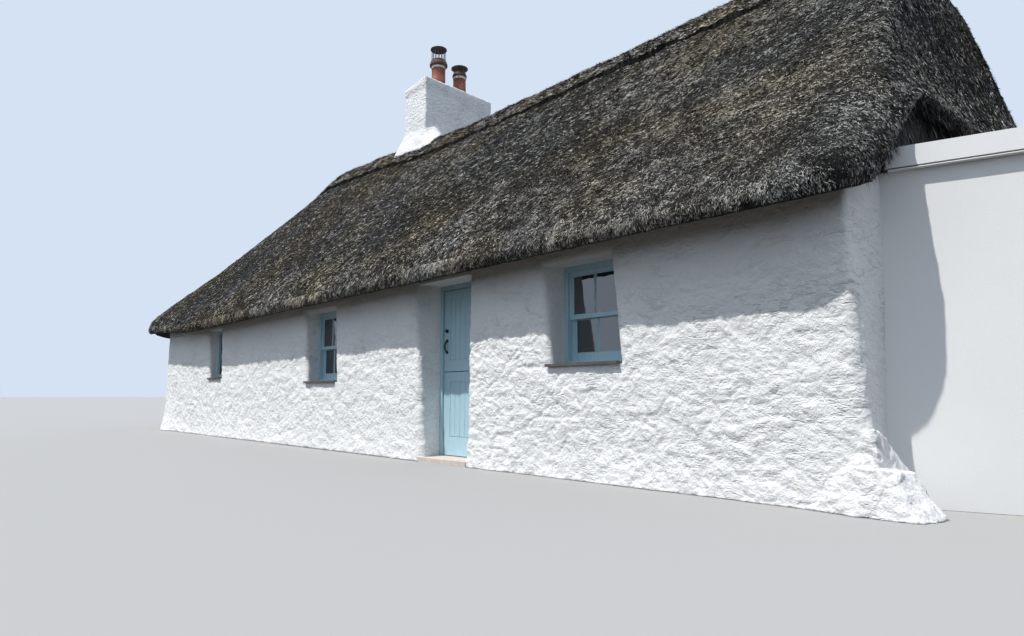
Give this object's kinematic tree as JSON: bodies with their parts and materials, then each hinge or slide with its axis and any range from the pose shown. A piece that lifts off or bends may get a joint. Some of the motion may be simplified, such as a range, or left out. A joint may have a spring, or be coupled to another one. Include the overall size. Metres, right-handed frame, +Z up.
{
  "type": "thatched cottage",
  "caption": "Long single-storey thatched cottage with lime-washed rubble walls, hipped roof, ridge cap, chimney, sash windows, stable door and flat-roofed end wing.",
  "frame": {"origin": "middle of the main house in plan, at ground level, under the floor", "axes": "+X along the front to the right, +Y from the front to the back, +Z up"},
  "size_m": [18.9779, 6.18, 7.4753],
  "materials": {
    "limewash": "matt, lumpy",
    "smooth_render": "matt",
    "floor": "matt",
    "step": "matt, worn",
    "slate": "matt",
    "thatch": "weathered reed",
    "ridge_thatch": "weathered reed",
    "blue_paint": "satin paint",
    "white_paint": "satin paint",
    "roof_felt": "matt",
    "window_glass": "clear",
    "clay": "matt",
    "cowl_metal": "weathered",
    "black_iron": "black paint"
  },
  "bodies": {
    "house": {"floor_slab": "floor", "door_step": "step", "front_wall_left": "limewash", "front_wall_right": "limewash", "front_wall_over_door": "limewash", "back_wall": "limewash", "left_end_wall": "limewash", "right_gable_wall": "limewash", "corner_plinth": "limewash", "chimney_stack": "limewash", "front_pot": "clay", "back_pot": "clay", "front_cowl": "cowl_metal", "back_cowl": "cowl_metal", "thatch_roof": "thatch", "ridge_cap": "ridge_thatch", "window_1_frame": "blue_paint", "window_1_glass": "window_glass", "window_1_sill": "slate", "window_2_frame": "blue_paint", "window_2_upper_sash": "blue_paint", "window_2_lower_sash": "blue_paint", "window_2_upper_glass": "window_glass", "window_2_lower_glass": "window_glass", "window_2_sill": "slate", "window_3_frame": "blue_paint", "window_3_upper_sash": "blue_paint", "window_3_lower_sash": "blue_paint", "window_3_upper_glass": "window_glass", "window_3_lower_glass": "window_glass", "window_3_sill": "slate", "back_window_1_frame": "blue_paint", "back_window_1_glass": "window_glass", "back_window_2_frame": "blue_paint", "back_window_2_glass": "window_glass", "door_frame": "blue_paint", "extension_front_wall": "smooth_render", "extension_end_wall": "smooth_render", "extension_back_wall": "smooth_render", "extension_roof": "roof_felt", "extension_fascia": "white_paint"},
    "upper_leaf": {"door_upper_leaf": "blue_paint", "door_pull": "black_iron", "door_knob": "black_iron"},
    "lower_leaf": {"door_lower_leaf": "blue_paint"}
  },
  "joints": [
    {"name": "upper_leaf_hinge", "type": "hinge", "parent": "house", "child": "upper_leaf", "pos_m": [3.4472, -2.3305, 0.05], "axis": [0, 0, -1], "range_deg": [0, 95]},
    {"name": "lower_leaf_hinge", "type": "hinge", "parent": "house", "child": "lower_leaf", "pos_m": [3.4472, -2.3305, 0.05], "axis": [0, 0, -1], "range_deg": [0, 95]}
  ]
}
